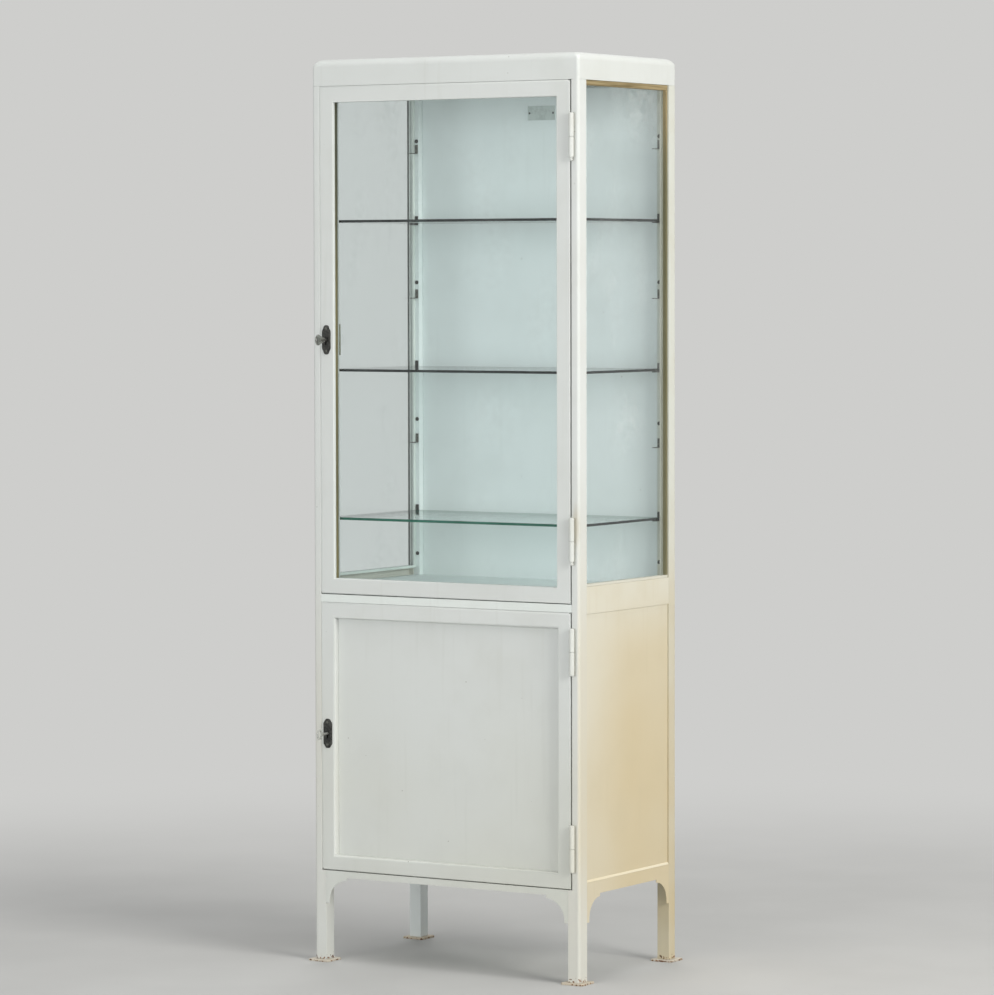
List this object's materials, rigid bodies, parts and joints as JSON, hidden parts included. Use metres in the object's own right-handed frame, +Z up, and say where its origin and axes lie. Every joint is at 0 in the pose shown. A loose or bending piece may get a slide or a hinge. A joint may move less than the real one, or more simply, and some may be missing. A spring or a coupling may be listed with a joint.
{
  "type": "glass door medical cabinet",
  "caption": "Tall white painted steel instrument cabinet: a glazed upper case with glass shelves over a closed cupboard, lockable hinged doors, square legs.",
  "frame": {"origin": "on the floor, below the middle of the whole object's box", "axes": "+Z up, +X to the right of someone facing the doors, the doors face -Y"},
  "size_m": [0.6226, 0.4142, 1.75],
  "materials": {
    "white_paint": "aged satin white enamel",
    "cream_paint": "yellowed satin enamel",
    "worn_paint": "chipped enamel over rusty steel",
    "glass": "clear, green at the edges",
    "putty": "old hard glazing putty",
    "iron": "blackened",
    "steel": "dull nickelled steel",
    "plate_metal": "plain satin"
  },
  "bodies": {
    "cabinet": {"post_front_left": "white_paint", "foot_plate_front_left": "worn_paint", "shelf_clip_top_front_left": "steel", "shelf_clip_middle_front_left": "steel", "shelf_clip_bottom_front_left": "steel", "post_front_right": "white_paint", "foot_plate_front_right": "worn_paint", "shelf_clip_top_front_right": "steel", "shelf_clip_middle_front_right": "steel", "shelf_clip_bottom_front_right": "steel", "post_rear_left": "white_paint", "foot_plate_rear_left": "worn_paint", "shelf_clip_top_rear_left": "steel", "shelf_clip_middle_rear_left": "steel", "shelf_clip_bottom_rear_left": "steel", "post_rear_right": "white_paint", "foot_plate_rear_right": "worn_paint", "shelf_clip_top_rear_right": "steel", "shelf_clip_middle_rear_right": "steel", "shelf_clip_bottom_rear_right": "steel", "side_apron_left": "white_paint", "side_panel_left": "cream_paint", "side_glazing_left": "putty", "side_glass_left": "glass", "side_apron_right": "white_paint", "side_panel_right": "cream_paint", "side_glazing_right": "putty", "side_glass_right": "glass", "top_cover": "white_paint", "front_mid_rail": "white_paint", "front_apron": "white_paint", "back_panel": "white_paint", "upper_floor": "white_paint", "lower_floor": "white_paint", "blank_plate": "plate_metal", "shelf_top": "glass", "shelf_middle": "glass", "shelf_bottom": "glass", "upper_door_top_hinge_pin": "white_paint", "upper_door_bottom_hinge_pin": "white_paint", "lower_door_top_hinge_pin": "white_paint", "lower_door_bottom_hinge_pin": "white_paint"},
    "upper_door": {"upper_door_frame": "white_paint", "upper_door_glass": "glass", "upper_door_bead": "putty", "upper_lock_case": "iron", "upper_lock_plate": "iron", "upper_door_top_hinge_knuckle": "white_paint", "upper_door_bottom_hinge_knuckle": "white_paint"},
    "upper_key": {"upper_key": "steel"},
    "upper_bolt": {"upper_lock_bolt": "steel"},
    "lower_door": {"lower_door_frame": "white_paint", "lower_door_panel": "white_paint", "lower_lock_case": "iron", "lower_lock_plate": "iron", "lower_door_top_hinge_knuckle": "white_paint", "lower_door_bottom_hinge_knuckle": "white_paint"},
    "lower_key": {"lower_key": "steel"},
    "lower_bolt": {"lower_lock_bolt": "steel"}
  },
  "joints": [
    {"name": "upper_door_swing", "type": "hinge", "parent": "cabinet", "child": "upper_door", "pos_m": [0.287, -0.17492, 1.214], "axis": [0, 0, 1], "range_deg": [0, 175]},
    {"name": "upper_key_turn", "type": "hinge", "parent": "upper_door", "child": "upper_key", "pos_m": [-0.2685, -0.16912, 1.21], "axis": [0, -1, 0], "range_deg": [0, 90]},
    {"name": "upper_bolt_slide", "type": "slide", "parent": "upper_door", "child": "upper_bolt", "axis": [-1, 0, 0], "range_m": [0, 0.0081]},
    {"name": "lower_door_swing", "type": "hinge", "parent": "cabinet", "child": "lower_door", "pos_m": [0.287, -0.17492, 0.4425], "axis": [0, 0, 1], "range_deg": [0, 175]},
    {"name": "lower_key_turn", "type": "hinge", "parent": "lower_door", "child": "lower_key", "pos_m": [-0.2685, -0.16912, 0.446], "axis": [0, -1, 0], "range_deg": [0, 90]},
    {"name": "lower_bolt_slide", "type": "slide", "parent": "lower_door", "child": "lower_bolt", "axis": [-1, 0, 0], "range_m": [0, 0.0081]}
  ],
  "couplings": [
    {"joint": "upper_bolt_slide", "follows": "upper_key_turn", "m_per_rad": 0.00509},
    {"joint": "lower_bolt_slide", "follows": "lower_key_turn", "m_per_rad": 0.00509}
  ]
}
